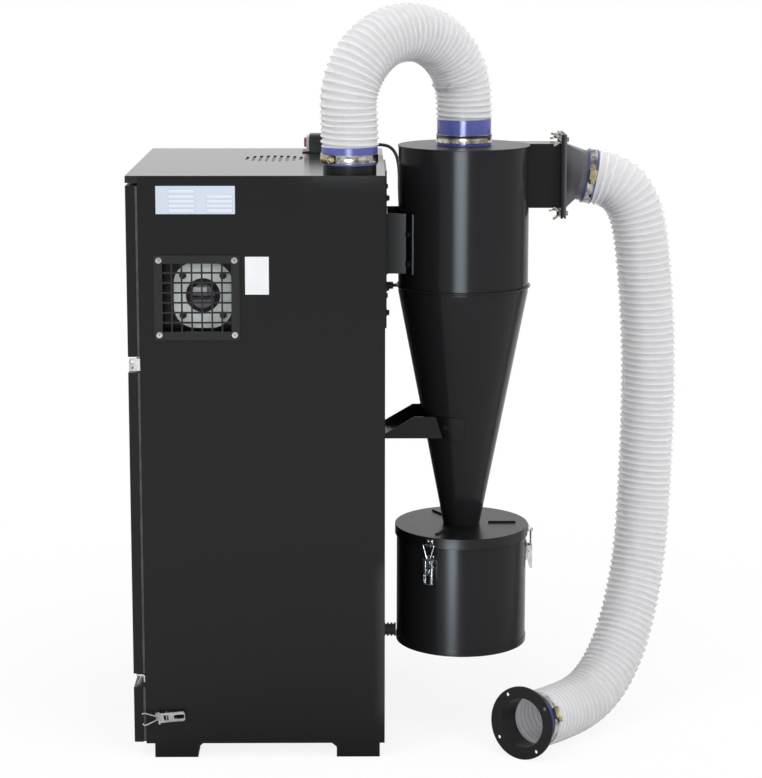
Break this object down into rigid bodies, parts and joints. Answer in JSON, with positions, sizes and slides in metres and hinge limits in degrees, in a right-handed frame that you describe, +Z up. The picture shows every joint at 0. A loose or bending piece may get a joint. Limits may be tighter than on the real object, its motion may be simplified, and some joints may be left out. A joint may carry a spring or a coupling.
{
  "type": "cyclone separator with filter cabinet",
  "caption": "Black steel cyclone separator with a dust bin, carried beside a filter and blower cabinet, with a short hose arch between them and a ribbed inlet hose to a free flange.",
  "frame": {"origin": "on the floor, in the middle of the footprint box of everything but the free hose with its end pieces and the control cable", "axes": "+X from the cabinet's doors towards the cyclone and its inlet, +Y from the fan side of the cabinet to the far side, +Z up"},
  "size_m": [0.8012, 0.4627, 1.073],
  "materials": {
    "black_paint": "gloss",
    "black_plastic": "satin",
    "dark_rubber": "matte",
    "clear_hose": "ribbed, see-through",
    "soft_cuff": "gloss",
    "zinc_band": "satin",
    "chrome": "polished",
    "zinc_foot": "satin",
    "pale_plate": "satin",
    "motor_steel": "satin",
    "pale_plastic": "satin",
    "red_plastic": "gloss"
  },
  "bodies": {
    "root": {"right_side_panel": "black_paint", "left_side_panel": "black_paint", "back_panel": "black_paint", "front_panel": "black_paint", "base_plate": "black_paint", "top_cover": "black_paint", "upper_door": "black_paint", "lower_door": "black_paint", "bottom_door": "black_paint", "fan_recess": "black_paint", "cabinet_spigot": "black_paint", "mounting_plate": "black_paint", "upper_bracket": "black_paint", "lower_bracket": "black_paint", "cyclone_barrel": "black_paint", "cyclone_top": "black_paint", "outlet_tube": "black_paint", "seam_ring": "black_paint", "cyclone_cone": "black_paint", "dust_outlet": "black_paint", "inlet_duct": "black_paint", "inlet_transition": "black_paint", "bin_body": "black_paint", "bin_lid": "black_paint", "end_flange": "black_paint", "fan_guard": "black_plastic", "control_unit": "black_plastic", "panel_gland": "black_plastic", "control_cable": "black_plastic", "door_seals": "dark_rubber", "flange_gasket": "dark_rubber", "bin_buffer": "dark_rubber", "arch_hose": "clear_hose", "inlet_hose": "clear_hose", "arch_cuffs": "soft_cuff", "inlet_cuff": "soft_cuff", "end_cuff": "soft_cuff", "arch_clamps": "zinc_band", "inlet_clamp": "zinc_band", "end_clamp": "zinc_band", "upper_catch": "chrome", "lower_catch": "chrome", "cabinet_latch": "chrome", "bin_latches": "chrome", "front_foot": "zinc_foot", "rear_foot": "zinc_foot", "blower_face": "pale_plate", "blower_motor": "motor_steel", "control_bezel": "pale_plastic", "control_rocker": "red_plastic"}
  },
  "joints": []
}
